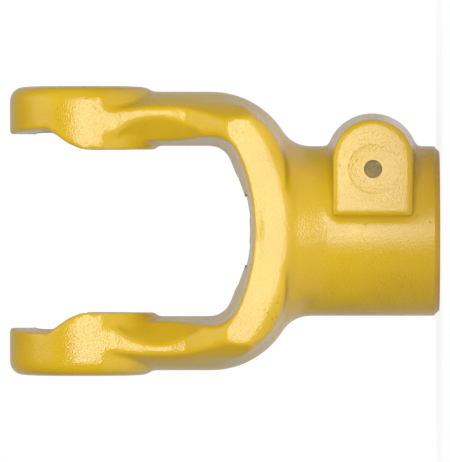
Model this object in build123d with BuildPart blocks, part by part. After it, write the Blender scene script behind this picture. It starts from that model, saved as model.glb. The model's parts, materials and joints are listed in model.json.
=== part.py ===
"""Forged drive-shaft yoke with a quick-release push pin.

Frame: the hub's flat end face lies on Z = 0 and the hub axis is +Z, so the yoke
stands on its hub with the ears up.  The ear bores run along X, the pin boss is on
the +X side, and the pin runs along Y with its button at the back (+Y).
The die parting plane is the XZ plane.
"""

import os
from math import radians, sqrt, tan

from build123d import *

# Driving dimensions in millimetres

# hub
hub_diameter = 54.0
hub_chamfer = 1.75
spline_minor_diameter = 29.9
spline_major_diameter = 34.95
spline_groove_width = 8.7
spline_groove_pairs = 3
spline_lead_chamfer = 2.0

# fork, seen square to the parting plane
arm_outer = 44.3
arm_inner = 27.0
fork_base_height = 45.5
shoulder_radius = 27.0
neck_radius = 10.2
crotch_height = 61.8
crotch_radius = 57.0
crotch_corner_radius = 7.0
fork_draft = 7.0
band_half_depth = 28.6
band_edge_radius = 2.6

# fork, seen along the ear bores
waist_half_depth = 20.7
waist_top_height = 93.0
waist_blend_radius = 16.0
flare_top_height = 82.0
flare_angle = 24.0
flare_blend_radius = 9.0
ear_neck_half_depth = 22.3
ear_neck_height = 103.0

# scooped reliefs along the fork faces, halfway between the arms' sides and their faces
scoop_radius = 20.0
scoop_height = 89.5
scoop_outer_reach = 36.2
scoop_length = 26.0

# ears
ear_height = 113.3
ear_diameter = 46.4
ear_outer = 46.0
ear_face_fall = 3.4
ear_inner = 25.9
ear_rim_radius = 4.4
ear_bore_diameter = 30.2
tip_relief = 30.7
tip_relief_draft = 5.0
tip_ramp_start = 27.9
tip_ramp_start_rise = 4.8
tip_ramp_end_rise = 8.6
snap_groove_diameter = 31.8
snap_groove_width = 2.1
snap_groove_inner = 40.0

# pin boss
boss_height = 21.3
boss_arch_offset = 22.65
boss_radius = 14.8
boss_foot = 2.6
boss_foot_corner = 6.0
boss_half_depth = 30.2
boss_draft = 4.3
boss_edge_radius = 1.3

# push pin and what it runs in
pin_offset = 19.6
pin_diameter = 10.0
pin_clearance = 0.05
pin_travel = 12.0
shaft_diameter = 34.9
shaft_clearance = 0.25
tail_diameter = 5.5
tail_clearance = 0.1
tail_recess = 0.8
front_wall = 5.0
spring_shoulder = 6.0
stem_diameter = 8.5
button_reach = 13.0
button_dome = 2.5
spot_face_diameter = 15.9
spot_face_depth = 0.4
ring_diameter = 16.0
ring_thickness = 5.0
ring_chamfer = 0.5
seat_gap = 0.1

# spring
spring_wire = 1.2
spring_outer_diameter = 9.2
spring_turns = 4.5
spring_end_gap = 0.3

# how far a cut runs past what it cuts, and how close an edge lies to where it is sought
cut_overshoot = 1.0
select_slack = 0.1

# Sizes worked out from the driving ones

hub_r = hub_diameter / 2
ear_r = ear_diameter / 2
bore_r = ear_bore_diameter / 2
tip_height = ear_height + ear_r
shoulder_centre = Vector(arm_outer - shoulder_radius, fork_base_height + shoulder_radius)
band_top = flare_top_height - (band_half_depth - waist_half_depth) / tan(radians(flare_angle))
pin_r = pin_diameter / 2
pin_bore_r = pin_r + pin_clearance
pin_axis = Axis((pin_offset, 0, boss_height), (0, 1, 0))
pin_section_plane = Plane(origin=(pin_offset, 0, boss_height), x_dir=(1, 0, 0), z_dir=(0, 0, 1))
spring_mean_r = (spring_outer_diameter - spring_wire) / 2
spring_near_end = spring_shoulder + spring_wire / 2 + spring_end_gap
spring_far_end = boss_half_depth - front_wall - spring_wire / 2 - spring_end_gap
spring_length = spring_far_end - spring_near_end


def unit(v):
    """The vector of length one along v."""
    return v * (1 / v.length)


def arc_middle(centre, radius, start, end):
    """The point halfway along the arc from start to end."""
    return centre + unit(unit(start - centre) + unit(end - centre)) * radius


def turned_outline():
    """Half section of the outer form that goes round the hub axis, as (radius, Z)."""
    across = hub_r + neck_radius - shoulder_centre.X
    rise = sqrt((shoulder_radius + neck_radius) ** 2 - across**2)
    neck_centre = Vector(hub_r + neck_radius, shoulder_centre.Y - rise)
    neck_start = Vector(hub_r, neck_centre.Y)
    meet = shoulder_centre + unit(neck_centre - shoulder_centre) * shoulder_radius
    shoulder_end = Vector(arm_outer, shoulder_centre.Y)
    Polyline((0, 0), (hub_r - hub_chamfer, 0), (hub_r, hub_chamfer), neck_start)
    ThreePointArc(neck_start, arc_middle(neck_centre, neck_radius, neck_start, meet), meet)
    ThreePointArc(meet, arc_middle(shoulder_centre, shoulder_radius, meet, shoulder_end), shoulder_end)
    Polyline(shoulder_end, (arm_outer, tip_height), (0, tip_height), (0, 0))


def plan_outline():
    """One side of the fork's outline seen along the ear bores, as (Y, Z)."""
    Polyline(
        (0, 0),
        (hub_r + neck_radius, 0),
        (band_half_depth, fork_base_height - neck_radius),
        (band_half_depth, band_top),
        (waist_half_depth, flare_top_height),
        (waist_half_depth, waist_top_height),
        (ear_neck_half_depth, ear_neck_height),
        (ear_neck_half_depth, ear_height),
        (0, ear_height),
        (0, 0),
    )


def outline_corner(height):
    """The corner of the outline being drawn that lies off the hub axis at a height."""
    off_axis = vertices().filter_by(lambda v: v.X > select_slack)
    return off_axis.filter_by(lambda v: abs(v.Y - height) < select_slack)


def gap_profile():
    """Outline of the space between the arms on the parting plane, as (X, Z)."""
    big_centre = Vector(0, crotch_height + crotch_radius)
    inner = crotch_radius - crotch_corner_radius
    corner_x = arm_inner - crotch_corner_radius
    corner = Vector(corner_x, big_centre.Y - sqrt(inner**2 - corner_x**2))
    low = big_centre + unit(corner - big_centre) * crotch_radius
    wall = Vector(arm_inner, corner.Y)
    low_left = Vector(-low.X, low.Y)
    wall_left = Vector(-wall.X, wall.Y)
    corner_left = Vector(-corner.X, corner.Y)
    top = tip_height + ear_r
    ThreePointArc(low_left, (0, crotch_height), low)
    ThreePointArc(low, arc_middle(corner, crotch_corner_radius, low, wall), wall)
    Polyline(wall, (arm_inner, top), (-arm_inner, top), wall_left)
    ThreePointArc(wall_left, arc_middle(corner_left, crotch_corner_radius, wall_left, low_left), low_left)


def on_gap_rim(edge):
    """Whether an edge runs where the gap's walls meet the fork's front or back."""
    middle = edge.center()
    spread = (band_half_depth + cut_overshoot) * tan(radians(fork_draft)) + select_slack
    in_face = abs(middle.Y) > waist_half_depth - select_slack
    return in_face and abs(middle.X) < arm_inner + spread and middle.Z > crotch_height - spread


def ear_section():
    """Half section of an ear about its bore axis, as (X, Z)."""
    rim_x = ear_outer - (ear_r - bore_r) * tan(radians(ear_face_fall))
    Polyline(
        (ear_inner, ear_height),
        (ear_inner, tip_height),
        (rim_x, tip_height),
        (ear_outer, ear_height + bore_r),
        (ear_outer, ear_height),
        close=True,
    )


def tip_relief_outline():
    """What is cut from the inner side of an ear beyond its bore axis, as (X, Z)."""
    beyond = tip_height + ear_r
    ramp_slope = (tip_ramp_start - ear_inner) / tip_ramp_start_rise
    low_x = ear_inner - bore_r * ramp_slope
    return [
        (low_x, ear_height - bore_r),
        (tip_ramp_start, ear_height + tip_ramp_start_rise),
        (tip_relief, ear_height + tip_ramp_end_rise),
        (tip_relief, beyond),
        (low_x, beyond),
    ]


def pin_face(depth, side):
    """Plane square to the pin's axis at a depth from the parting plane, facing outwards."""
    return Plane(origin=(pin_offset, side * depth, boss_height), x_dir=(1, 0, 0), z_dir=(0, side, 0))


def pin_outline():
    """Half section of the push pin at rest, as (radius, Y), from its tail to its button."""
    clear_r = shaft_diameter / 2 + shaft_clearance
    waist_r = pin_offset - clear_r
    half_waist = sqrt(clear_r**2 - (pin_offset - pin_r) ** 2)
    tail_end = -(boss_half_depth - tail_recess)
    shoulder = boss_half_depth - ring_thickness - seat_gap
    button_end = boss_half_depth + button_reach
    Polyline(
        (0, tail_end),
        (tail_diameter / 2, tail_end),
        (tail_diameter / 2, -spring_shoulder),
        (pin_r, -spring_shoulder),
        (pin_r, pin_travel - half_waist),
    )
    ThreePointArc(
        (pin_r, pin_travel - half_waist),
        (waist_r, pin_travel),
        (pin_r, pin_travel + half_waist),
    )
    stem_r = stem_diameter / 2
    dome_start = Vector(stem_r, button_end - button_dome)
    dome_r = (stem_r**2 + button_dome**2) / (2 * button_dome)
    dome_centre = Vector(0, button_end - dome_r)
    top = Vector(0, button_end)
    Polyline((pin_r, pin_travel + half_waist), (pin_r, shoulder), (stem_r, shoulder), dome_start)
    ThreePointArc(dome_start, arc_middle(dome_centre, dome_r, dome_start, top), top)
    Line(top, (0, tail_end))


with BuildPart() as fork:
    with BuildSketch(Plane.XZ):
        with BuildLine():
            Polyline(
                (-arm_outer, tip_height),
                (-arm_outer, fork_base_height),
                (arm_outer, fork_base_height),
                (arm_outer, tip_height),
                close=True,
            )
        make_face()
        fillet(vertices().group_by(Axis.Y)[0], shoulder_radius)
    extrude(amount=band_half_depth, both=True, taper=fork_draft)
    with BuildSketch(Plane.XY):
        Circle(arm_outer)
    extrude(amount=tip_height, mode=Mode.INTERSECT)

with BuildPart() as gap:
    with BuildSketch(Plane.XZ):
        with BuildLine():
            gap_profile()
        make_face()
    extrude(amount=band_half_depth + cut_overshoot, both=True, taper=-fork_draft)

with BuildPart() as scoops:
    for side in (1, -1):
        for face in (1, -1):
            edge_x = side * scoop_outer_reach
            edge_y = face * waist_half_depth
            inward = unit(Vector(-side, face, 0))
            along = unit(Vector(side, face, 0))
            with BuildSketch(Plane(origin=Vector(edge_x, edge_y, scoop_height) + inward * scoop_radius, z_dir=along)):
                Circle(scoop_radius)
            extrude(amount=scoop_length / 2, both=True)

with BuildPart() as ear:
    with BuildSketch(Plane.XZ):
        with BuildLine():
            ear_section()
        make_face()
    revolve(axis=Axis((0, 0, ear_height), (1, 0, 0)))
    rims = edges().filter_by(GeomType.CIRCLE).filter_by(lambda e: abs(e.radius - ear_r) < select_slack)
    fillet(rims.sort_by(Axis.X)[-1], ear_rim_radius)
    with BuildSketch(Plane.XZ):
        with BuildLine():
            Polyline(*tip_relief_outline(), close=True)
        make_face()
    extrude(amount=ear_r + cut_overshoot, both=True, taper=-tip_relief_draft, mode=Mode.SUBTRACT)

with BuildPart() as boss:
    with BuildSketch(Plane.XZ):
        with Locations((boss_arch_offset, boss_height)):
            Circle(boss_radius)
        with Locations(((boss_foot + boss_arch_offset) / 2, boss_height)):
            Rectangle(boss_arch_offset - boss_foot, 2 * boss_radius)
        fillet(vertices().sort_by(Axis.X)[:2], boss_foot_corner)
    extrude(amount=boss_half_depth, both=True, taper=boss_draft)
    fillet(faces().filter_by(Axis.Y).edges(), boss_edge_radius)

with BuildPart() as yoke:
    with BuildSketch(Plane.XZ):
        with BuildLine():
            turned_outline()
        make_face()
    revolve(axis=Axis.Z)
    add(fork.part)
    with BuildSketch(Plane.YZ):
        with BuildLine():
            plan_outline()
        make_face()
        fillet(outline_corner(flare_top_height), waist_blend_radius)
        fillet(outline_corner(band_top), flare_blend_radius)
        mirror(about=Plane.YZ)
    extrude(amount=arm_outer + cut_overshoot, both=True, mode=Mode.INTERSECT)
    add(gap.part, mode=Mode.SUBTRACT)
    gap_rims = edges().filter_by(Axis.X, reverse=True).filter_by(on_gap_rim)
    fillet(gap_rims, band_edge_radius)
    add(scoops.part, mode=Mode.SUBTRACT)
    add(ear.part)
    add(ear.part.mirror(Plane.YZ))
    add(boss.part)

    # ear bores with their snap-ring grooves
    with BuildSketch(Plane.YZ):
        with Locations((0, ear_height)):
            Circle(bore_r)
    extrude(amount=ear_outer + cut_overshoot, both=True, mode=Mode.SUBTRACT)
    for side in (1, -1):
        with BuildSketch(Plane.YZ.offset(side * (snap_groove_inner + snap_groove_width / 2))):
            with Locations((0, ear_height)):
                Circle(snap_groove_diameter / 2)
        extrude(amount=snap_groove_width / 2, both=True, mode=Mode.SUBTRACT)

    # splined hub bore with a lead-in cone at the hub's end
    with BuildSketch(Plane.XY.offset(-cut_overshoot)):
        with PolarLocations(0, spline_groove_pairs, angular_range=180):
            Rectangle(2 * hub_diameter, spline_groove_width)
        Circle(spline_major_diameter / 2, mode=Mode.INTERSECT)
        Circle(spline_minor_diameter / 2)
    extrude(amount=crotch_height + crotch_corner_radius, mode=Mode.SUBTRACT)
    lead_depth = spline_lead_chamfer + (spline_major_diameter - spline_minor_diameter) / 2
    with BuildSketch(Plane.XZ):
        with BuildLine():
            Polyline(
                (0, 0),
                (spline_minor_diameter / 2 + lead_depth, 0),
                (spline_minor_diameter / 2, lead_depth),
                (0, lead_depth),
                close=True,
            )
        make_face()
    revolve(axis=Axis.Z, mode=Mode.SUBTRACT)

    # stepped hole for the pin: ring seat and pin bore from the back, tail hole to the front
    with Locations(pin_face(boss_half_depth, 1)):
        CounterBoreHole(
            radius=pin_bore_r,
            counter_bore_radius=ring_diameter / 2,
            counter_bore_depth=ring_thickness,
            depth=2 * boss_half_depth - front_wall,
        )
    with Locations(pin_face(boss_half_depth, -1)):
        CounterBoreHole(
            radius=tail_diameter / 2 + tail_clearance,
            counter_bore_radius=spot_face_diameter / 2,
            counter_bore_depth=spot_face_depth,
            depth=front_wall + cut_overshoot,
        )

with BuildPart() as push_pin:
    with BuildSketch(pin_section_plane):
        with BuildLine():
            pin_outline()
        make_face()
    revolve(axis=pin_axis)

with BuildPart() as retaining_ring:
    with BuildSketch(pin_face(boss_half_depth - ring_thickness, 1)):
        Circle(ring_diameter / 2)
        Circle(stem_diameter / 2 + pin_clearance, mode=Mode.SUBTRACT)
    extrude(amount=ring_thickness)
    outer_face = faces().sort_by(Axis.Y)[-1]
    chamfer(outer_face.edges(), ring_chamfer)

with BuildPart() as pin_spring:
    with BuildLine() as coil:
        Helix(
            pitch=spring_length / spring_turns,
            height=spring_length,
            radius=spring_mean_r,
            center=(pin_offset, -spring_far_end, boss_height),
            direction=(0, 1, 0),
        )
    with BuildSketch(Plane(origin=coil.line @ 0, z_dir=coil.line % 0)):
        Circle(spring_wire / 2)
    sweep(is_frenet=True)

os.makedirs("parts", exist_ok=True)
nodes = {
    "yoke": yoke.part,
    "push_pin": push_pin.part,
    "retaining_ring": retaining_ring.part,
    "pin_spring": pin_spring.part,
}
for name, solid in nodes.items():
    solid.label = name
    export_step(solid, f"parts/{name}.step")
    print(name, round(solid.volume), len(solid.solids()), solid.is_valid)
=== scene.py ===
"""Looks of a forged drive-shaft yoke with a quick-release push pin.

The yoke stands on its hub.  The camera looks square at the die parting plane and is
rolled a quarter turn, so that the hub points right in the picture as in the photograph.
"""

import json
import logging
import math
from dataclasses import dataclass

import bmesh
import bpy
from mathutils import Matrix, Vector

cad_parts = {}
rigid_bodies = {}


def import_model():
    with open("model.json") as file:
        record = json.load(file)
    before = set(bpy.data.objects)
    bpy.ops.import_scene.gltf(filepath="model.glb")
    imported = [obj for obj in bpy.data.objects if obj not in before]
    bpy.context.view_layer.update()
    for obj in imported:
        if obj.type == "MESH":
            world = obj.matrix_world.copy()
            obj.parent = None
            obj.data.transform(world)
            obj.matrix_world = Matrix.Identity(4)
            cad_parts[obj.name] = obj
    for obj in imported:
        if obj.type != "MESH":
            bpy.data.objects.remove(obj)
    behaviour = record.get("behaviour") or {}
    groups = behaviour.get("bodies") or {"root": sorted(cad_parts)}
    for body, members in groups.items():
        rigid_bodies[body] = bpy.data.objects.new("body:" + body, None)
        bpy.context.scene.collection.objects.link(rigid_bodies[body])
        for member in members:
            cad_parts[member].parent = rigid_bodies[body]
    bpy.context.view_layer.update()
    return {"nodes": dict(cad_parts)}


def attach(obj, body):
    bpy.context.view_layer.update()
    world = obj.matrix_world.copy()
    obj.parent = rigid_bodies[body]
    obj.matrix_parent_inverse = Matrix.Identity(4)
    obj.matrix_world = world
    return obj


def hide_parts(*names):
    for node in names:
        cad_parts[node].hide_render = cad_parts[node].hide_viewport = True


LOG = logging.getLogger("forged_yoke")
MM = 0.001
SEAM_GAP = 0.001 * MM
PACKED_SEAM_GAP = 0.002 * MM
Colour = tuple[float, float, float, float]
WHITE: Colour = (1.0, 1.0, 1.0, 1.0)


def new_material(name: str) -> bpy.types.Material:
    """Make an empty node material.

    Args:
        name: the material's name.

    Returns:
        The material, with nothing in its node tree.
    """
    material = bpy.data.materials.new(name)
    material.use_nodes = True
    material.node_tree.nodes.clear()
    return material


@dataclass
class NodePen:
    """Places and joins nodes in one tree."""

    tree: bpy.types.NodeTree

    def add(self, kind: str, **settings: object) -> bpy.types.Node:
        """Add a node.

        Args:
            kind: the node's type name.
            settings: properties to set on it.

        Returns:
            The node.
        """
        node = self.tree.nodes.new(kind)
        for key, value in settings.items():
            setattr(node, key, value)
        return node

    def join(self, source: bpy.types.NodeSocket, target: bpy.types.NodeSocket) -> None:
        """Link one socket to another."""
        self.tree.links.new(source, target)

    def noise(
        self, place: bpy.types.NodeSocket, scale: float, detail: float, rough: float
    ) -> bpy.types.Node:
        """Add a noise pattern.

        Args:
            place: the coordinates that it reads.
            scale: waves per metre.
            detail: how many finer layers it has.
            rough: how strong the finer layers are.

        Returns:
            The noise node.
        """
        node = self.add("ShaderNodeTexNoise", noise_dimensions="3D")
        node.inputs["Scale"].default_value = scale
        node.inputs["Detail"].default_value = detail
        node.inputs["Roughness"].default_value = rough
        self.join(place, node.inputs["Vector"])
        return node

    def ramp(
        self, value: bpy.types.NodeSocket, low: float, high: float, out_low: float, out_high: float
    ) -> bpy.types.NodeSocket:
        """Map a value smoothly from one range to another.

        Args:
            value: the value that is mapped.
            low: the value that gives out_low.
            high: the value that gives out_high.
            out_low: the result at low.
            out_high: the result at high.

        Returns:
            The mapped value's socket.
        """
        node = self.add("ShaderNodeMapRange", interpolation_type="SMOOTHSTEP", clamp=True)
        node.inputs["From Min"].default_value = low
        node.inputs["From Max"].default_value = high
        node.inputs["To Min"].default_value = out_low
        node.inputs["To Max"].default_value = out_high
        self.join(value, node.inputs["Value"])
        return node.outputs["Result"]

    def maths(
        self, operation: str, a: bpy.types.NodeSocket, b: bpy.types.NodeSocket | float
    ) -> bpy.types.NodeSocket:
        """Combine two values.

        Args:
            operation: the Math node's operation.
            a: the first value.
            b: the second value, a socket or a plain number.

        Returns:
            The result's socket.
        """
        node = self.add("ShaderNodeMath", operation=operation)
        self.join(a, node.inputs[0])
        if isinstance(b, (int, float)):
            node.inputs[1].default_value = b
        else:
            self.join(b, node.inputs[1])
        return node.outputs[0]

    def mix(
        self,
        factor: bpy.types.NodeSocket,
        a: bpy.types.NodeSocket | Colour,
        b: bpy.types.NodeSocket | Colour,
        blend: str = "MIX",
    ) -> bpy.types.NodeSocket:
        """Mix two colours.

        Args:
            factor: the share of the second colour.
            a: the first colour.
            b: the second colour.
            blend: how they mix.

        Returns:
            The mixed colour's socket.
        """
        node = self.add("ShaderNodeMix", data_type="RGBA", blend_type=blend)
        self.join(factor, node.inputs["Factor"])
        for key, colour in (("A", a), ("B", b)):
            socket = next(s for s in node.inputs if s.name == key and s.type == "RGBA")
            if isinstance(colour, tuple):
                socket.default_value = colour
            else:
                self.join(colour, socket)
        return next(s for s in node.outputs if s.type == "RGBA")


def group_sockets(
    name: str, inputs: dict[str, tuple[str, float]], outputs: dict[str, str]
) -> tuple[bpy.types.NodeTree, NodePen, bpy.types.Node, bpy.types.Node]:
    """Start a shader node group.

    Args:
        name: the group's name.
        inputs: socket name to its type and default value.
        outputs: socket name to its type.

    Returns:
        The group, a pen for it, its input node and its output node.
    """
    tree = bpy.data.node_groups.new(name, "ShaderNodeTree")
    for label, (kind, value) in inputs.items():
        socket = tree.interface.new_socket(label, in_out="INPUT", socket_type=kind)
        if kind == "NodeSocketFloat":
            socket.default_value = value
    for label, kind in outputs.items():
        tree.interface.new_socket(label, in_out="OUTPUT", socket_type=kind)
    pen = NodePen(tree)
    return tree, pen, pen.add("NodeGroupInput"), pen.add("NodeGroupOutput")


@dataclass(frozen=True)
class ForgedSkin:
    """The skin that forging and blasting leave: fine pebbling, slow waves and sparse pits."""

    pebble_scale: float = 900.0
    wave_scale: float = 120.0
    cloud_scale: float = 45.0
    pit_scale: float = 420.0
    patch_scale: float = 70.0
    pitted_patch: tuple[float, float] = (0.56, 0.7)
    pit_wall: tuple[float, float] = (0.06, 0.26)

    def build(self) -> bpy.types.NodeTree:
        """Build the effect that every finish shares.

        Returns:
            A group that puts out Height, Pits and Cloud.
        """
        tree, pen, given, result = group_sockets(
            "forged_skin",
            {
                "Place": ("NodeSocketVector", 0.0),
                "Pebble Scale": ("NodeSocketFloat", self.pebble_scale),
                "Wave Scale": ("NodeSocketFloat", self.wave_scale),
                "Pebble": ("NodeSocketFloat", 1.0),
                "Wave": ("NodeSocketFloat", 1.0),
                "Pit": ("NodeSocketFloat", 1.0),
            },
            {"Height": "NodeSocketFloat", "Pits": "NodeSocketFloat", "Cloud": "NodeSocketFloat"},
        )
        place = given.outputs["Place"]
        pebble = pen.noise(place, scale=self.pebble_scale, detail=2.0, rough=0.55)
        pen.join(given.outputs["Pebble Scale"], pebble.inputs["Scale"])
        wave = pen.noise(place, scale=self.wave_scale, detail=1.0, rough=0.4)
        pen.join(given.outputs["Wave Scale"], wave.inputs["Scale"])
        cloud = pen.noise(place, scale=self.cloud_scale, detail=2.0, rough=0.5)
        pits = pen.add("ShaderNodeTexVoronoi", feature="F1", voronoi_dimensions="3D")
        pits.inputs["Scale"].default_value = self.pit_scale
        pen.join(place, pits.inputs["Vector"])
        patch = pen.noise(place, scale=self.patch_scale, detail=2.0, rough=0.6)
        sparse = pen.ramp(patch.outputs["Fac"], *self.pitted_patch, 0.0, 1.0)
        dimple = pen.ramp(pits.outputs["Distance"], *self.pit_wall, 1.0, 0.0)
        pit = pen.maths("MULTIPLY", pen.maths("MULTIPLY", dimple, sparse), given.outputs["Pit"])
        fine = pen.maths("MULTIPLY", pebble.outputs["Fac"], given.outputs["Pebble"])
        slow = pen.maths("MULTIPLY", wave.outputs["Fac"], given.outputs["Wave"])
        height = pen.maths("SUBTRACT", pen.maths("ADD", fine, slow), pit)
        pen.join(height, result.inputs["Height"])
        pen.join(pit, result.inputs["Pits"])
        pen.join(cloud.outputs["Fac"], result.inputs["Cloud"])
        return tree


@dataclass(frozen=True)
class Grain:
    """How coarse and how strong the forged skin shows through one finish."""

    pebble_scale: float
    wave_scale: float
    pebble: float
    wave: float
    pit: float

    def lay(
        self, pen: NodePen, skin: bpy.types.NodeTree, place: bpy.types.NodeSocket
    ) -> bpy.types.Node:
        """Place the skin effect in a material.

        Args:
            pen: the material's pen.
            skin: the forged skin group.
            place: the coordinates that it reads.

        Returns:
            The group's node, set to this grain.
        """
        node = pen.add("ShaderNodeGroup", node_tree=skin)
        pen.join(place, node.inputs["Place"])
        node.inputs["Pebble Scale"].default_value = self.pebble_scale
        node.inputs["Wave Scale"].default_value = self.wave_scale
        node.inputs["Pebble"].default_value = self.pebble
        node.inputs["Wave"].default_value = self.wave
        node.inputs["Pit"].default_value = self.pit
        return node


def raise_relief(
    pen: NodePen, shader: bpy.types.Node, height: bpy.types.NodeSocket, strength: float, depth: float
) -> None:
    """Give a shader its surface relief and join it to the material's output.

    Args:
        pen: the material's pen.
        shader: the material's shader.
        height: the relief's height.
        strength: how strong the relief shows.
        depth: how deep it is, in metres.
    """
    bump = pen.add("ShaderNodeBump")
    bump.inputs["Strength"].default_value = strength
    bump.inputs["Distance"].default_value = depth
    pen.join(height, bump.inputs["Height"])
    pen.join(bump.outputs["Normal"], shader.inputs["Normal"])
    output = pen.add("ShaderNodeOutputMaterial")
    pen.join(shader.outputs["BSDF"], output.inputs["Surface"])


@dataclass(frozen=True)
class YellowEnamel:
    """Glossy yellow enamel sprayed over a forging."""

    colour: Colour = (0.66, 0.425, 0.018, 1.0)
    thin_colour: Colour = (0.62, 0.39, 0.014, 1.0)
    # Painted shade: the darker colour given to the pits, where shade falls in the dents
    pit_shade_colour: Colour = (0.42, 0.22, 0.012, 1.0)
    thin_patch: tuple[float, float] = (0.38, 0.66)
    dull_patch: tuple[float, float] = (0.35, 0.7)
    roughness: tuple[float, float] = (0.07, 0.1)
    ior: float = 1.5
    relief_strength: float = 1.0
    relief_depth: float = 0.1 * MM
    grain: Grain = Grain(pebble_scale=1700.0, wave_scale=110.0, pebble=1.4, wave=0.4, pit=0.8)

    def build(self, skin: bpy.types.NodeTree) -> bpy.types.Material:
        """Make the material.

        Args:
            skin: the forged skin group.

        Returns:
            The enamel material.
        """
        material = new_material("yellow_enamel")
        pen = NodePen(material.node_tree)
        surface = self.grain.lay(pen, skin, pen.add("ShaderNodeTexCoord").outputs["Object"])
        shader = pen.add("ShaderNodeBsdfPrincipled")
        shader.inputs["IOR"].default_value = self.ior
        thin = pen.ramp(surface.outputs["Cloud"], *self.thin_patch, 0.0, 1.0)
        colour = pen.mix(thin, self.colour, self.thin_colour)
        # Painted shade: the colour darkens inside the pits, on top of the dents that the relief makes
        shade = pen.mix(surface.outputs["Pits"], colour, self.pit_shade_colour)
        pen.join(shade, shader.inputs["Base Color"])
        rough = pen.ramp(surface.outputs["Cloud"], *self.dull_patch, *self.roughness)
        pen.join(rough, shader.inputs["Roughness"])
        raise_relief(pen, shader, surface.outputs["Height"], self.relief_strength, self.relief_depth)
        return material


@dataclass(frozen=True)
class WornSteel:
    """Bare steel with a mottled, browned skin."""

    name: str
    colour: Colour
    stain: Colour
    stain_share: float
    roughness: tuple[float, float] = (0.28, 0.5)
    mottle_scale: float = 650.0
    stain_start: float = 0.2
    stain_shift: float = 0.35
    stain_span: float = 0.25
    dull_patch: tuple[float, float] = (0.3, 0.7)
    metallic: tuple[float, float] = (0.95, 0.35)
    relief_strength: float = 0.6
    relief_depth: float = 0.06 * MM
    grain: Grain = Grain(pebble_scale=2600.0, wave_scale=700.0, pebble=0.5, wave=0.3, pit=0.2)

    def build(self, skin: bpy.types.NodeTree) -> bpy.types.Material:
        """Make the material.

        Args:
            skin: the forged skin group.

        Returns:
            The steel material.
        """
        material = new_material(self.name)
        pen = NodePen(material.node_tree)
        place = pen.add("ShaderNodeTexCoord").outputs["Object"]
        surface = self.grain.lay(pen, skin, place)
        mottle = pen.noise(place, scale=self.mottle_scale, detail=4.0, rough=0.65).outputs["Fac"]
        start = self.stain_shift * (1.0 - self.stain_share) + self.stain_start
        stained = pen.ramp(mottle, start, start + self.stain_span, 0.0, 1.0)
        shader = pen.add("ShaderNodeBsdfPrincipled")
        pen.join(pen.mix(stained, self.colour, self.stain), shader.inputs["Base Color"])
        pen.join(pen.ramp(stained, 0.0, 1.0, *self.metallic), shader.inputs["Metallic"])
        pen.join(pen.ramp(mottle, *self.dull_patch, *self.roughness), shader.inputs["Roughness"])
        raise_relief(pen, shader, surface.outputs["Height"], self.relief_strength, self.relief_depth)
        return material


def dress(piece: bpy.types.Object, material: bpy.types.Material) -> None:
    """Give every face of a piece one material.

    Args:
        piece: the mesh object.
        material: what it gets.
    """
    piece.data.materials.clear()
    piece.data.materials.append(material)
    for polygon in piece.data.polygons:
        polygon.material_index = 0


def smooth_step(value: float, low: float, high: float) -> float:
    """Go smoothly from 0 at low to 1 at high.

    Args:
        value: where the step is read.
        low: where it starts.
        high: where it ends.

    Returns:
        A share from 0 to 1.
    """
    share = min(max((value - low) / (high - low), 0.0), 1.0)
    return share * share * (3 - 2 * share)


def hinge(value: float, blend: float) -> float:
    """Give 0 for values well below 0 and the value itself well above, with a soft bend between."""
    return (value + math.hypot(value, blend)) / 2


@dataclass
class Cutter:
    """One machining cut, made as a closed shape that is taken from the forging."""

    name: str
    points: list[tuple[float, float]]
    axis: Vector
    centre: Vector
    segments: int = 128

    def turned(self, finish: bpy.types.Material) -> bpy.types.Object:
        """Spin the cut's half section round its axis.

        Args:
            finish: the material that the cut leaves.

        Returns:
            The cutter, closed, with its faces outwards.
        """
        shape = bmesh.new()
        side = self.axis.orthogonal().normalized()
        places = [self.centre + self.axis * along + side * out for out, along in self.points]
        corners = [shape.verts.new(place) for place in places]
        edges = [shape.edges.new(pair) for pair in zip(corners, corners[1:])]
        bmesh.ops.spin(
            shape,
            geom=corners + edges,
            cent=self.centre,
            axis=self.axis,
            angle=2 * math.pi,
            steps=self.segments,
            use_merge=True,
        )
        return finished_mesh(shape, self.name, finish)


def finished_mesh(shape: bmesh.types.BMesh, name: str, finish: bpy.types.Material) -> bpy.types.Object:
    """Close a mesh's seams, turn its faces outwards and make an object of it.

    Args:
        shape: the mesh being built, which is freed.
        name: the object's name.
        finish: the material of all its faces.

    Returns:
        The object, linked to the scene.
    """
    bmesh.ops.remove_doubles(shape, verts=shape.verts, dist=SEAM_GAP)
    bmesh.ops.recalc_face_normals(shape, faces=shape.faces)
    mesh = bpy.data.meshes.new(name)
    shape.to_mesh(mesh)
    shape.free()
    mesh.materials.append(finish)
    piece = bpy.data.objects.new(name, mesh)
    bpy.context.scene.collection.objects.link(piece)
    return piece


def apply_modifiers(piece: bpy.types.Object) -> None:
    """Put the result of a piece's modifiers into its mesh.

    Args:
        piece: the object, whose modifiers are cleared.
    """
    graph = bpy.context.evaluated_depsgraph_get()
    mesh = bpy.data.meshes.new_from_object(piece.evaluated_get(graph))
    mesh.name = piece.name
    piece.modifiers.clear()
    piece.data = mesh


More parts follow.
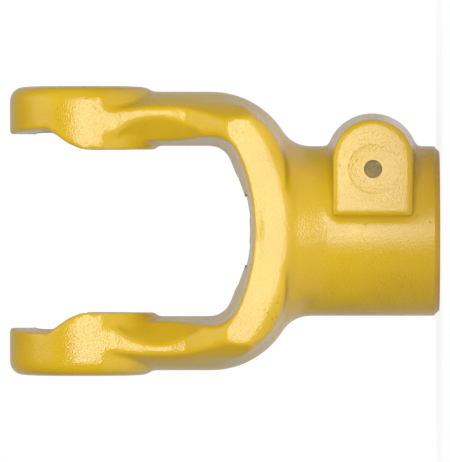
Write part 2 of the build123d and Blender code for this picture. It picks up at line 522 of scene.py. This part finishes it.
@dataclass
class ForgedBody:
    """The yoke's body: a raw forging with soft edges, then its machined cuts."""

    hub_radius: float = 27.0 * MM
    hub_chamfer: float = 1.75 * MM
    hub_stock: float = 3.0 * MM
    ear_height: float = 113.3 * MM
    ear_bore_radius: float = 15.1 * MM
    snap_groove_radius: float = 15.9 * MM
    snap_groove_inner: float = 40.0 * MM
    snap_groove_width: float = 2.1 * MM
    ear_inner: float = 25.0 * MM
    spline_minor_radius: float = 14.95 * MM
    spline_major_radius: float = 17.475 * MM
    spline_groove_width: float = 8.7 * MM
    spline_count: int = 6
    spline_top: float = 68.0 * MM
    lead_radius: float = 19.475 * MM
    pin_x: float = 19.6 * MM
    pin_z: float = 21.3 * MM
    boss_half_depth: float = 30.2 * MM
    spot_radius: float = 7.95 * MM
    spot_floor_radius: float = 7.0 * MM
    spot_wall: float = 0.27 * MM
    spot_depth: float = 0.4 * MM
    tail_radius: float = 2.85 * MM
    front_wall: float = 5.0 * MM
    pin_bore_radius: float = 5.05 * MM
    ring_radius: float = 8.0 * MM
    ring_depth: float = 5.0 * MM
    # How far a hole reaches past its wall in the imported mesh, and a cut past the forging
    slack: float = 0.15 * MM
    over: float = 12.0 * MM
    chamfer_reach: float = 6.0 * MM
    bore_reach: float = 60.0 * MM
    ear_segments: int = 160
    pin_segments: int = 96
    spline_steps: int = 8
    ear_radius: float = 23.2 * MM
    ear_face: float = 25.9 * MM
    # The ear tip's ramp, as places across the yoke and above the bore
    ramp_start: tuple[float, float] = (27.9 * MM, 4.8 * MM)
    ramp_end: tuple[float, float] = (30.7 * MM, 8.6 * MM)
    pad_segments: int = 96
    neck_radius: float = 10.2 * MM
    # The cone that fills the neck below the band, front and back
    cone_start: float = 35.5 * MM
    cone_slope: float = 0.19
    cone_blend: float = 1.0 * MM
    cone_fade: tuple[float, float] = (46.0 * MM, 56.0 * MM)
    neck_top: float = 57.0 * MM
    neck_skin: float = 1.0 * MM
    neck_side: tuple[float, float] = (0.45, 0.8)
    shoulder_radius: float = 27.0 * MM
    shoulder_out: float = 17.3 * MM
    shoulder_height: float = 72.5 * MM
    # The band round the crotch, its crown and its rounded outer edge
    band_depth: float = 28.6 * MM
    band_crown: float = 1.4 * MM
    band_edge_centre: float = 107.2 * MM
    band_edge_radius: float = 60.5 * MM
    band_edge_slope: float = 1.4
    band_edge_blend: float = 1.0 * MM
    band_rise: tuple[float, float] = (43.0 * MM, 47.0 * MM)
    band_fade: tuple[float, float] = (56.0 * MM, 66.0 * MM)
    band_lift_depth: float = 21.0 * MM
    front_depth: float = 15.0 * MM
    front_zone: tuple[float, float] = (32.0 * MM, 84.0 * MM)
    voxel: float = 0.72 * MM
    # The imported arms' front line, and the softer crest that takes its place
    waist_depth: float = 20.7 * MM
    flare_start: float = 82.0 * MM
    flare_slope: float = 0.445
    flare_blend: float = 1.6 * MM
    crest_slope: float = 0.2
    crest_low: float = 86.5 * MM
    crest_blend: float = 5.0 * MM
    crest_depth: float = 12.0 * MM
    crest_foot: float = 58.0 * MM
    crest_side: tuple[float, float] = (13.0 * MM, 20.0 * MM)
    neck_line: tuple[float, float] = (93.0 * MM, 103.0 * MM)
    neck_line_slope: float = 0.16
    ear_line_start: float = 110.5 * MM
    # The boss's arched block at its root, its draft in degrees, and its foot on the hub
    boss_arch_x: float = 22.65 * MM
    boss_radius: float = 14.8 * MM
    boss_foot: float = 2.6 * MM
    boss_draft: float = 4.3
    boss_edge: float = 0.7 * MM
    boss_root_share: float = 0.5
    boss_arch_steps: int = 48
    boss_top: float = 37.0 * MM
    boss_steps: int = 2
    foot_zone: tuple[float, float] = (2.0 * MM, 42.0 * MM)
    foot_side: float = 1.0 * MM
    foot_depth: float = 10.0 * MM
    foot_reach: float = 2.0 * MM
    foot_steps: int = 24
    # Rounding of the forging's edges, with more of it on the band
    soften_steps: int = 4
    band_zone: tuple[float, float] = (34.0 * MM, 72.0 * MM)
    band_zone_depth: float = 17.0 * MM
    band_steps: int = 7
    soften_share: float = 0.5
    sharp_angle: float = 32.0

    def in_hole(self, place: Vector) -> bool:
        """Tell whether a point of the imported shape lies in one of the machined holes.

        Args:
            place: the point.

        Returns:
            True in an ear bore, the pin's hole or the spline bore.
        """
        if math.hypot(place.y, place.z - self.ear_height) < self.snap_groove_radius + self.slack:
            return abs(place.x) > self.ear_inner
        if math.hypot(place.x - self.pin_x, place.z - self.pin_z) < self.ring_radius + self.slack:
            return True
        return math.hypot(place.x, place.y) < self.lead_radius + self.slack and place.z < self.spline_top

    def blank(self, node: bpy.types.Object) -> bpy.types.Object:
        """Make the raw forging: no holes, and stock left on the hub's end.

        Args:
            node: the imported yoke.

        Returns:
            The forging, evenly meshed, with its edges softened.
        """
        shape = bmesh.new()
        shape.from_mesh(node.data)
        bmesh.ops.remove_doubles(shape, verts=shape.verts, dist=PACKED_SEAM_GAP)
        holes = [face for face in shape.faces if all(self.in_hole(corner.co) for corner in face.verts)]
        bmesh.ops.delete(shape, geom=holes, context="FACES")
        rims = [edge for edge in shape.edges if edge.is_boundary]
        bmesh.ops.holes_fill(shape, edges=rims, sides=0)
        bmesh.ops.triangulate(shape, faces=[face for face in shape.faces if len(face.verts) > 3])
        for corner in shape.verts:
            if corner.co.z < self.slack:
                out = math.hypot(corner.co.x, corner.co.y)
                if out > self.lead_radius + self.slack:
                    corner.co.x *= self.hub_radius / out
                    corner.co.y *= self.hub_radius / out
                corner.co.z = -self.hub_stock
        LOG.info("forging blank: %d open edges", sum(edge.is_boundary for edge in shape.edges))
        for side in (1.0, -1.0):
            self.add_tip_pad(shape, side)
            self.add_boss_face(shape, side)
        mesh = bpy.data.meshes.new("forged_body")
        shape.to_mesh(mesh)
        shape.free()
        piece = bpy.data.objects.new("forged_body", mesh)
        bpy.context.scene.collection.objects.link(piece)
        remesh = piece.modifiers.new("even", "REMESH")
        remesh.mode = "VOXEL"
        remesh.voxel_size = self.voxel
        remesh.adaptivity = 0.0
        apply_modifiers(piece)
        self.crown(piece)
        self.soften(piece)
        return piece

    def add_tip_pad(self, shape: bmesh.types.BMesh, side: float) -> None:
        """Fill an ear's inner face out to the straight ramp that leads to its relieved tip.

        Args:
            shape: the blank being built.
            side: 1 for the ear on the boss's side, -1 for the other.
        """
        depth = self.ramp_end[0] + self.ramp_start[1] - self.ear_face
        place = Matrix.Translation((side * (self.ear_face + depth / 2), 0, self.ear_height))
        made = bmesh.ops.create_cone(
            shape,
            cap_ends=True,
            segments=self.pad_segments,
            radius1=self.ear_radius,
            radius2=self.ear_radius,
            depth=depth,
            matrix=place @ Matrix.Rotation(math.radians(90), 4, "Y"),
        )
        corners = set(made["verts"])
        ramp = [(self.ear_face, 0.0), self.ramp_start, self.ramp_end]
        for low, high in zip(ramp, ramp[1:]):
            geom = list(corners)
            geom += [edge for edge in shape.edges if set(edge.verts) <= corners]
            geom += [face for face in shape.faces if set(face.verts) <= corners]
            cut = bmesh.ops.bisect_plane(
                shape,
                geom=geom,
                plane_co=(side * low[0], 0, self.ear_height + low[1]),
                plane_no=(-side * (high[1] - low[1]), 0, high[0] - low[0]),
                clear_outer=True,
            )
            rim = [item for item in cut["geom_cut"] if isinstance(item, bmesh.types.BMEdge)]
            bmesh.ops.holes_fill(shape, edges=rim, sides=0)
            corners = {corner for corner in corners if corner.is_valid}
            corners |= {corner for edge in rim for corner in edge.verts}

    def add_boss_face(self, shape: bmesh.types.BMesh, side: float) -> None:
        """Add a block that gives the boss's face nearly crisp edges and square foot corners.

        Args:
            shape: the blank being built.
            side: 1 for the back face, -1 for the front.
        """
        loops = []
        root = self.boss_root_share * self.boss_half_depth
        wall_top = self.boss_half_depth - self.boss_edge
        for depth, extra in ((root, 0.0), (wall_top, 0.0), (self.boss_half_depth, self.boss_edge)):
            inset = depth * math.tan(math.radians(self.boss_draft)) + extra
            radius = self.boss_radius - inset
            foot = self.boss_foot + inset
            outline = [(foot, self.pin_z - radius)]
            for step in range(self.boss_arch_steps + 1):
                turn = math.pi * (step / self.boss_arch_steps - 0.5)
                across = self.boss_arch_x + radius * math.cos(turn)
                outline.append((across, self.pin_z + radius * math.sin(turn)))
            outline.append((foot, self.pin_z + radius))
            corners = [shape.verts.new((x, side * depth, z)) for x, z in outline]
            loops.append([shape.edges.new(pair) for pair in zip(corners, corners[1:] + corners[:1])])
        faces = []
        for low, high in zip(loops, loops[1:]):
            faces += bmesh.ops.bridge_loops(shape, edges=low + high)["faces"]
        for rim in (loops[0], loops[-1]):
            faces += bmesh.ops.holes_fill(shape, edges=rim, sides=0)["faces"]
        bmesh.ops.recalc_face_normals(shape, faces=faces)

    def turned_radius(self, height: float) -> float:
        """Give the radius of the turned hub, neck and shoulder at a height.

        Args:
            height: the height above the hub's end.

        Returns:
            The radius there.
        """
        across = self.hub_radius + self.neck_radius - self.shoulder_out
        reach = self.neck_radius + self.shoulder_radius
        neck_height = self.shoulder_height - math.sqrt(reach**2 - across**2)
        rise = height - neck_height
        if rise <= 0:
            return self.hub_radius
        if rise < (self.shoulder_height - neck_height) * self.neck_radius / reach:
            return self.hub_radius + self.neck_radius - math.sqrt(self.neck_radius**2 - rise**2)
        fall = max(self.shoulder_height - height, 0.0)
        return self.shoulder_out + math.sqrt(self.shoulder_radius**2 - fall**2)

    def swell(self, height: float) -> float:
        """Give how far the neck's cone stands proud at its front and back.

        Args:
            height: the height above the hub's end.

        Returns:
            The depth that the cone adds to the turned neck.
        """
        cone = self.hub_radius + self.cone_slope * hinge(height - self.cone_start, self.cone_blend)
        fade = smooth_step(height, *self.cone_fade)
        return max(cone - self.turned_radius(height), 0.0) * (1 - fade)

    def packed_front(self, height: float) -> float:
        """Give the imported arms' half depth.

        Args:
            height: the height above the hub's end.

        Returns:
            The half depth there.
        """
        flare = self.flare_slope * hinge(self.flare_start - height, self.flare_blend)
        low, high = self.neck_line
        neck = self.neck_line_slope * min(max(height - low, 0.0), high - low)
        ear = math.sqrt(max(self.ear_radius**2 - (height - self.ear_height) ** 2, 0.0))
        return max(min(self.waist_depth + flare + neck, self.band_depth), ear)

    def crest_front(self, height: float) -> float:
        """Give the half depth of the arms' crest, which is one soft line from ear to band.

        Args:
            height: the height above the hub's end.

        Returns:
            The half depth there.
        """
        start = self.ear_line_start
        drop = self.ear_height - start
        ear = math.sqrt(self.ear_radius**2 - drop**2)
        fall = (start - height) * drop / ear
        rise = (self.crest_slope + drop / ear) * hinge(self.crest_low - height, self.crest_blend)
        return min(ear - fall + rise, self.band_depth)

    def level_crest(self, corner: bpy.types.MeshVertex) -> None:
        """Move one point of an arm's front or back onto the crest's soft line.

        Args:
            corner: the point.
        """
        x, y, z = corner.co
        share = smooth_step(abs(y), *self.crest_side)
        y += math.copysign(share * (self.crest_front(z) - self.packed_front(z)), y)
        corner.co = (x, y, z)

    def fill_neck(self, corner: bpy.types.MeshVertex) -> None:
        """Move one point of the neck's front or back out to the cone below the band.

        Args:
            corner: the point.
        """
        x, y, z = corner.co
        out = math.hypot(x, y)
        if z < self.neck_top and out < self.turned_radius(z) + self.neck_skin:
            share = smooth_step(abs(y) / out, *self.neck_side)
            grown = 1 + share * self.swell(z) / out
            corner.co = (x * grown, y * grown, z)

    def raise_band(self, corner: bpy.types.MeshVertex) -> None:
        """Raise one point of the band round the crotch, and round the band's outer edge.

        Args:
            corner: the point.
        """
        x, y, z = corner.co
        lift = smooth_step(abs(y), self.band_lift_depth, self.band_depth) * smooth_step(z, *self.band_rise)
        lift *= 1 - smooth_step(z, *self.band_fade)
        crown = self.band_depth + self.band_crown
        deep = abs(y) + self.band_crown * lift
        beyond = math.hypot(x, z - self.band_edge_centre) - self.band_edge_radius
        edge = crown - self.band_edge_slope * hinge(beyond, self.band_edge_blend)
        neck = self.turned_radius(z) + self.swell(z)
        neck_front = math.sqrt(max(neck**2 - x**2, 0.0))
        if z > self.band_rise[0]:
            deep = min(deep, max(edge, neck_front), crown)
        corner.co = (x, math.copysign(deep, y), z)

    def crown(self, piece: bpy.types.Object) -> None:
        """Level the arms' crests, fill the neck and raise the band, at the front and the back.

        Args:
            piece: the evenly meshed forging.
        """
        low, high = self.front_zone
        for corner in piece.data.vertices:
            if abs(corner.co.y) > self.crest_depth and self.crest_foot < corner.co.z < self.ear_line_start:
                self.level_crest(corner)
            if abs(corner.co.y) >= self.front_depth and low < corner.co.z < high:
                self.fill_neck(corner)
                self.raise_band(corner)

    def at_boss_foot(self, place: Vector) -> bool:
        """Tell whether a point lies where the boss's walls meet the hub.

        Args:
            place: the point.

        Returns:
            True within reach of that corner.
        """
        low, high = self.foot_zone
        if not low < place.z < high or place.x < self.foot_side or abs(place.y) < self.foot_depth:
            return False
        return abs(math.hypot(place.x, place.y) - self.hub_radius) < self.foot_reach

    def soften(self, piece: bpy.types.Object) -> None:
        """Round all edges as forging and blasting leave them, and the band's edges more.

        Args:
            piece: the evenly meshed forging.
        """
        shape = bmesh.new()
        shape.from_mesh(piece.data)
        low, high = self.band_zone
        band = []
        skin = []
        for corner in shape.verts:
            depth = abs(corner.co.y)
            if low < corner.co.z < high and depth > self.band_zone_depth:
                band.append(corner)
            if depth < self.band_depth or corner.co.z > self.boss_top:
                skin.append(corner)
        boss = list(set(shape.verts) - set(skin))
        foot = [corner for corner in shape.verts if self.at_boss_foot(corner.co)]
        groups = (
            (skin, self.soften_steps),
            (boss, self.boss_steps),
            (band, self.band_steps),
            (foot, self.foot_steps),
        )
        for corners, steps in groups:
            for _ in range(steps):
                bmesh.ops.smooth_vert(
                    shape,
                    verts=corners,
                    factor=self.soften_share,
                    use_axis_x=True,
                    use_axis_y=True,
                    use_axis_z=True,
                )
        shape.to_mesh(piece.data)
        shape.free()

    def facing_cut(self) -> Cutter:
        """Draw the section of the cut that faces and chamfers the hub's end.

        Returns:
            The cut, turned round the hub's axis.
        """
        edge = self.hub_radius - self.hub_chamfer
        reach = self.chamfer_reach
        far = edge + self.over
        section = [(0, -self.over), (far, -self.over), (far, reach), (edge + reach, reach), (edge, 0), (0, 0)]
        return Cutter("facing_cut", section, Vector((0, 0, 1)), Vector((0, 0, 0)))

    def lead_cut(self) -> Cutter:
        """Draw the section of the lead-in cone at the hub's end.

        Returns:
            The cut, turned round the hub's axis.
        """
        slope = self.lead_radius + self.over
        section = [(0, -self.over), (slope, -self.over), (0, self.lead_radius)]
        return Cutter("lead_cut", section, Vector((0, 0, 1)), Vector((0, 0, 0)))

    def ear_cut(self) -> Cutter:
        """Draw the section of both ear bores and their snap-ring grooves.

        Returns:
            The cut, turned round the ears' axis.
        """
        reach = self.bore_reach
        bore = self.ear_bore_radius
        low = self.snap_groove_inner
        high = low + self.snap_groove_width
        groove = self.snap_groove_radius
        half = [(bore, low), (groove, low), (groove, high), (bore, high), (bore, reach), (0, reach)]
        other = [(out, -along) for out, along in reversed(half)]
        centre = Vector((0, 0, self.ear_height))
        return Cutter("ear_cut", other + half, Vector((1, 0, 0)), centre, self.ear_segments)

    def pin_cut(self) -> Cutter:
        """Draw the section of the stepped hole for the pin, from front to back.

        Returns:
            The cut, turned round the pin's axis.
        """
        front = -self.boss_half_depth
        back = self.boss_half_depth
        section = [
            (0, front - self.over),
            (self.spot_radius, front - self.over),
            (self.spot_radius, front + self.spot_wall),
            (self.spot_floor_radius, front + self.spot_depth),
            (self.tail_radius, front + self.spot_depth),
            (self.tail_radius, front + self.front_wall),
            (self.pin_bore_radius, front + self.front_wall),
            (self.pin_bore_radius, back - self.ring_depth),
            (self.ring_radius, back - self.ring_depth),
            (self.ring_radius, back + self.over),
            (0, back + self.over),
        ]
        centre = Vector((self.pin_x, 0, self.pin_z))
        return Cutter("pin_cut", section, Vector((0, 1, 0)), centre, self.pin_segments)

    def broach(self, finish: bpy.types.Material) -> bpy.types.Object:
        """Make the cut of the splined bore, by drawing its outline and pushing it up.

        Args:
            finish: the material that the cut leaves.

        Returns:
            The cutter.
        """
        pitch = 2 * math.pi / self.spline_count
        half_out = math.asin(self.spline_groove_width / 2 / self.spline_major_radius)
        half_in = math.asin(self.spline_groove_width / 2 / self.spline_minor_radius)
        steps = self.spline_steps
        shape = bmesh.new()
        outline = []
        for tooth in range(self.spline_count):
            middle = tooth * pitch
            for step in range(steps + 1):
                outline.append((self.spline_major_radius, middle - half_out + 2 * half_out * step / steps))
            gap = pitch - 2 * half_in
            for step in range(steps + 1):
                outline.append((self.spline_minor_radius, middle + half_in + gap * step / steps))
        corners = [
            shape.verts.new((out * math.cos(turn), out * math.sin(turn), -self.over)) for out, turn in outline
        ]
        face = shape.faces.new(corners)
        pushed = bmesh.ops.extrude_face_region(shape, geom=[face])
        top = [item for item in pushed["geom"] if isinstance(item, bmesh.types.BMVert)]
        bmesh.ops.translate(shape, verts=top, vec=(0, 0, self.over + self.spline_top))
        return finished_mesh(shape, "broach_cut", finish)

    def machine(
        self, piece: bpy.types.Object, bare: bpy.types.Material, painted: bpy.types.Material
    ) -> None:
        """Take the machined cuts from the forging.

        Args:
            piece: the raw forging.
            bare: the finish of cuts that stay bare.
            painted: the finish of cuts made before painting.
        """
        cutters = [
            self.facing_cut().turned(painted),
            self.pin_cut().turned(painted),
            self.broach(bare),
            self.lead_cut().turned(bare),
            self.ear_cut().turned(bare),
        ]
        for cutter in cutters:
            cut = piece.modifiers.new(cutter.name, "BOOLEAN")
            cut.operation = "DIFFERENCE"
            cut.solver = "MANIFOLD"
            cut.object = cutter
            cut.material_mode = "TRANSFER"
        apply_modifiers(piece)
        for cutter in cutters:
            bpy.data.objects.remove(cutter)

    def crease(self, piece: bpy.types.Object) -> None:
        """Shade the body smooth, with sharp lines only along machined edges.

        Args:
            piece: the machined body.
        """
        shape = bmesh.new()
        shape.from_mesh(piece.data)
        for face in shape.faces:
            face.smooth = True
        limit = math.radians(self.sharp_angle)
        for edge in shape.edges:
            edge.smooth = edge.calc_face_angle(0.0) < limit
        shape.to_mesh(piece.data)
        shape.free()

    def build(
        self, node: bpy.types.Object, paint: bpy.types.Material, bare: bpy.types.Material
    ) -> bpy.types.Object:
        """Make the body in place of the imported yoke.

        Args:
            node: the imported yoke.
            paint: the finish of the forged skin and of the faces machined before painting.
            bare: the finish of the bare machined bores.

        Returns:
            The finished body.
        """
        piece = self.blank(node)
        piece.data.materials.clear()
        piece.data.materials.append(paint)
        self.machine(piece, bare, paint)
        self.crease(piece)
        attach(piece, "forging")
        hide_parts("yoke")
        LOG.info("forged_body: %d faces", len(piece.data.polygons))
        return piece


@dataclass
class SprungPin:
    """The push pin with the ring and the spring that hold it, in their bare steels."""

    pin_steel: WornSteel = WornSteel(
        name="pin_steel",
        colour=(0.27, 0.205, 0.085, 1.0),
        stain=(0.17, 0.12, 0.045, 1.0),
        stain_share=0.6,
        roughness=(0.5, 0.7),
        mottle_scale=2200.0,
    )
    ring_steel: WornSteel = WornSteel(
        name="ring_steel", colour=(0.50, 0.49, 0.46, 1.0), stain=(0.3, 0.26, 0.2, 1.0), stain_share=0.3
    )
    spring_steel: WornSteel = WornSteel(
        name="spring_steel", colour=(0.35, 0.34, 0.33, 1.0), stain=(0.2, 0.17, 0.14, 1.0), stain_share=0.3
    )

    def build(self, nodes: dict[str, bpy.types.Object], skin: bpy.types.NodeTree) -> None:
        """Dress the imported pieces.

        Args:
            nodes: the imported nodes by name.
            skin: the forged skin group.
        """
        steels = (
            ("push_pin", self.pin_steel),
            ("retaining_ring", self.ring_steel),
            ("pin_spring", self.spring_steel),
        )
        for name, steel in steels:
            dress(nodes[name], steel.build(skin))
            LOG.info("%s: %s", name, steel.name)


def seen_rays(pen: NodePen, gloss_share: float) -> bpy.types.NodeSocket:
    """Give 1 on rays from the camera and on those that glass sends on, and less on gloss.

    Args:
        pen: the tree's pen.
        gloss_share: what it gives on rays that a glossy face sends on.

    Returns:
        The mask's socket.
    """
    paths = pen.add("ShaderNodeLightPath")
    glossy = pen.maths("MULTIPLY", paths.outputs["Is Glossy Ray"], gloss_share)
    seen = pen.maths("MAXIMUM", paths.outputs["Is Camera Ray"], glossy)
    return pen.maths("MAXIMUM", seen, paths.outputs["Is Transmission Ray"])


@dataclass(frozen=True)
class FloorWhite:
    """Pale floor that takes the object's shadow and fades to plain white outwards."""

    colour: Colour = (0.9, 0.9, 0.9, 1.0)
    near: float = 35.0 * MM
    far: float = 130.0 * MM
    near_share: float = 0.85
    gloss_share: float = 0.5

    def build(self) -> bpy.types.Material:
        """Make the material.

        Returns:
            The floor's material.
        """
        material = new_material("floor_white")
        pen = NodePen(material.node_tree)
        away = pen.add("ShaderNodeVectorMath", operation="LENGTH")
        pen.join(pen.add("ShaderNodeTexCoord").outputs["Object"], away.inputs[0])
        share = pen.ramp(away.outputs["Value"], self.near, self.far, self.near_share, 1.0)
        diffuse = pen.add("ShaderNodeBsdfDiffuse")
        diffuse.inputs["Color"].default_value = self.colour
        white = pen.add("ShaderNodeEmission")
        white.inputs["Color"].default_value = WHITE
        white.inputs["Strength"].default_value = 1.0
        mixer = pen.add("ShaderNodeMixShader")
        pen.join(pen.maths("MULTIPLY", seen_rays(pen, self.gloss_share), share), mixer.inputs["Fac"])
        pen.join(diffuse.outputs["BSDF"], mixer.inputs[1])
        pen.join(white.outputs["Emission"], mixer.inputs[2])
        output = pen.add("ShaderNodeOutputMaterial")
        pen.join(mixer.outputs["Shader"], output.inputs["Surface"])
        return material


@dataclass
class Studio:
    """Floor, lights, surroundings and the camera."""

    photo_width: int = 450
    photo_height: int = 462
    millimetres_per_pixel: float = 0.318
    photo_hub_end: float = 439.15
    photo_axis_row: float = 230.97
    camera_distance: float = 5.0
    sensor_width: float = 36.0
    clip_range: tuple[float, float] = (0.01, 50.0)
    floor_radius: float = 0.26
    floor_back: float = 0.1
    floor_segments: int = 96
    world_strength: float = 0.36
    room_gloss: float = 0.06
    wall_gloss: float = 0.6
    wall_edge: tuple[float, float] = (0.25, 1.05)
    lit_point: tuple[float, float, float] = (0.0, 0.0, 0.07)
    front_place: tuple[float, float, float] = (0.03, -1.2, 0.05)
    front_size: tuple[float, float] = (0.66, 0.84)
    front_radiance: float = 7.2
    top_place: tuple[float, float, float] = (0.3, -0.4, 1.3)
    top_size: tuple[float, float] = (1.2, 0.9)
    top_radiance: float = 1.2

    def floor(self) -> None:
        """Lay the pale floor that the yoke stands on."""
        shape = bmesh.new()
        bmesh.ops.create_circle(shape, cap_ends=True, radius=self.floor_radius, segments=self.floor_segments)
        bmesh.ops.translate(shape, verts=shape.verts, vec=(0, self.floor_back, 0))
        finished_mesh(shape, "studio_floor", FloorWhite().build())

    def surroundings(self) -> None:
        """Set the surroundings: plain white to the camera, a dim room with a pale back wall to gloss."""
        world = bpy.data.worlds.new("studio_world")
        bpy.context.scene.world = world
        world.use_nodes = True
        world.node_tree.nodes.clear()
        pen = NodePen(world.node_tree)
        grounds = {}
        for name in ("soft", "white", "gloss"):
            grounds[name] = pen.add("ShaderNodeBackground")
            grounds[name].inputs["Color"].default_value = WHITE
        grounds["soft"].inputs["Strength"].default_value = self.world_strength
        toward = pen.add("ShaderNodeSeparateXYZ")
        pen.join(pen.add("ShaderNodeTexCoord").outputs["Generated"], toward.inputs["Vector"])
        wall = pen.ramp(toward.outputs["Y"], *self.wall_edge, self.room_gloss, self.wall_gloss)
        pen.join(wall, grounds["gloss"].inputs["Strength"])
        paths = pen.add("ShaderNodeLightPath")
        glossy = pen.add("ShaderNodeMixShader")
        pen.join(paths.outputs["Is Glossy Ray"], glossy.inputs["Fac"])
        pen.join(grounds["soft"].outputs["Background"], glossy.inputs[1])
        pen.join(grounds["gloss"].outputs["Background"], glossy.inputs[2])
        seen = pen.add("ShaderNodeMixShader")
        direct = pen.maths("MAXIMUM", paths.outputs["Is Camera Ray"], paths.outputs["Is Transmission Ray"])
        pen.join(direct, seen.inputs["Fac"])
        pen.join(glossy.outputs["Shader"], seen.inputs[1])
        pen.join(grounds["white"].outputs["Background"], seen.inputs[2])
        output = pen.add("ShaderNodeOutputWorld")
        pen.join(seen.outputs["Shader"], output.inputs["Surface"])

    def soft_light(
        self, name: str, place: tuple[float, float, float], size: tuple[float, float], radiance: float
    ) -> None:
        """Hang one large soft light, which faces the object.

        Args:
            name: the light's name.
            place: its centre.
            size: its width and height.
            radiance: how bright its face is.
        """
        data = bpy.data.lights.new(name, "AREA")
        data.shape = "RECTANGLE"
        data.size, data.size_y = size
        data.energy = radiance * math.pi * size[0] * size[1]
        light = bpy.data.objects.new(name, data)
        light.location = place
        light.visible_camera = False
        aim = Vector(self.lit_point) - Vector(place)
        light.rotation_euler = aim.to_track_quat("-Z", "Y").to_euler()
        bpy.context.scene.collection.objects.link(light)

    def lights(self) -> None:
        """Place the soft lights: one large one in front, and a weaker one above."""
        self.soft_light("front_light", self.front_place, self.front_size, self.front_radiance)
        self.soft_light("top_light", self.top_place, self.top_size, self.top_radiance)

    def camera(self) -> None:
        """Aim the camera square at the parting plane, rolled so that the hub points right."""
        scale = self.millimetres_per_pixel * MM
        centre_x = (self.photo_axis_row - self.photo_height / 2) * scale
        centre_z = (self.photo_hub_end - self.photo_width / 2) * scale
        data = bpy.data.cameras.new("photo_camera")
        data.sensor_fit = "HORIZONTAL"
        data.sensor_width = self.sensor_width
        data.lens = self.sensor_width * self.camera_distance / (self.photo_width * scale)
        data.clip_start, data.clip_end = self.clip_range
        camera = bpy.data.objects.new("photo_camera", data)
        right = Vector((0.0, 0.0, -1.0))
        up = Vector((1.0, 0.0, 0.0))
        back = right.cross(up)
        turn = Matrix((right, up, back)).transposed().to_4x4()
        camera.matrix_world = Matrix.Translation((centre_x, -self.camera_distance, centre_z)) @ turn
        bpy.context.scene.collection.objects.link(camera)
        bpy.context.scene.camera = camera

    def build(self) -> None:
        """Set up everything around the object."""
        self.floor()
        self.surroundings()
        self.lights()
        self.camera()
        bpy.context.scene.view_settings.view_transform = "Standard"


def main() -> None:
    """Dress the yoke and set the studio."""
    logging.basicConfig(level=logging.INFO)
    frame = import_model()
    nodes = frame["nodes"]
    skin = ForgedSkin().build()
    enamel = YellowEnamel().build(skin)
    bored_steel = WornSteel(
        name="bored_steel", colour=(0.46, 0.45, 0.42, 1.0), stain=(0.28, 0.23, 0.16, 1.0), stain_share=0.25
    )
    dress(nodes["yoke"], enamel)
    ForgedBody().build(nodes["yoke"], enamel, bored_steel.build(skin))
    SprungPin().build(nodes, skin)
    Studio().build()
    LOG.info("pieces: %d", len(nodes))


if __name__ == "__main__":
    main()
